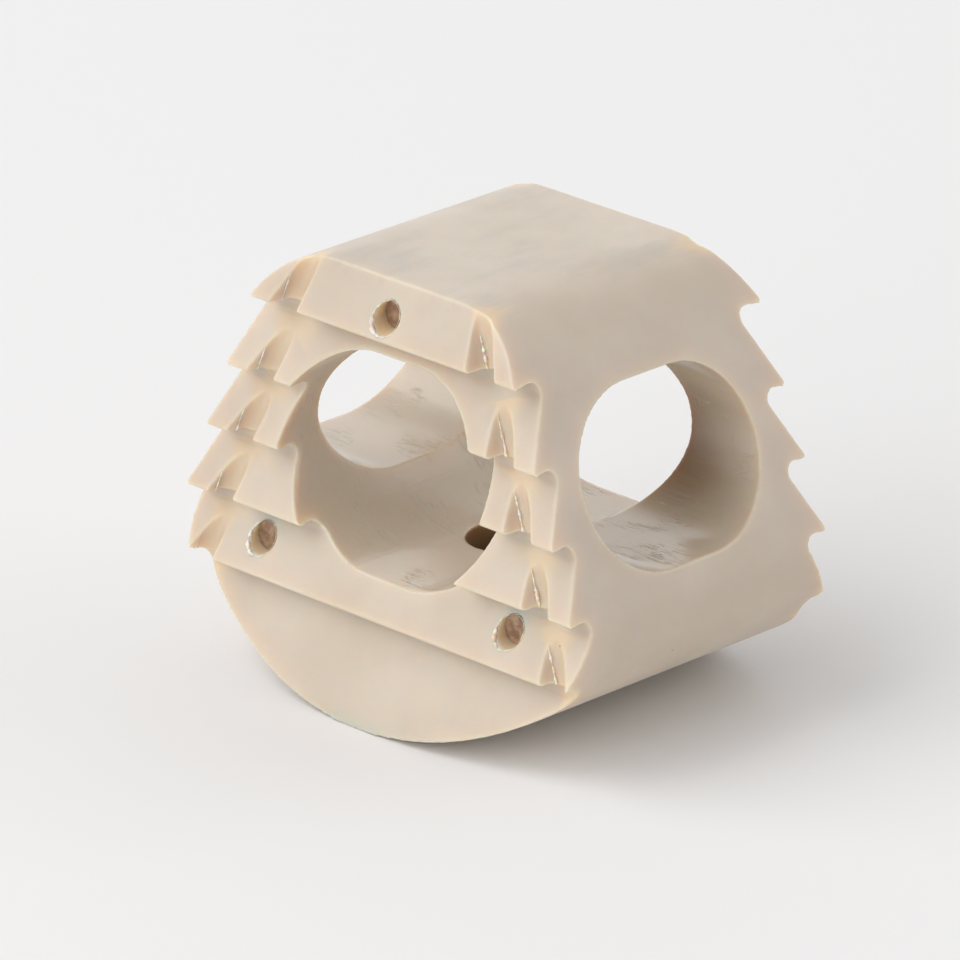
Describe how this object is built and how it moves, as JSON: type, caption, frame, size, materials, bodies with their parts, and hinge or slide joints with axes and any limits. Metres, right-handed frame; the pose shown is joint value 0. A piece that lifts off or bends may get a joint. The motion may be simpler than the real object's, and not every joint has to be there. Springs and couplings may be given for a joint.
{
  "type": "spinal interbody cage",
  "caption": "Trapezoid ring implant with saw-tooth endplate faces, a graft window, side windows, an inserter hole and X-ray marker pins.",
  "frame": {"origin": "lowest point of the curved anterior wall, centred in width and in height, where the cage touches the surface that it stands on", "axes": "+Z from the anterior wall to the flat posterior face, +Y along the spine between the two toothed endplate faces, +X from side to side"},
  "size_m": [0.0138, 0.0108, 0.0115],
  "materials": {
    "cage_polymer": "satin",
    "marker_metal": "dull grey"
  },
  "bodies": {
    "root": {"cage_body": "cage_polymer", "posterior_marker_pin": "marker_metal", "left_marker_pin": "marker_metal", "right_marker_pin": "marker_metal"}
  },
  "joints": []
}
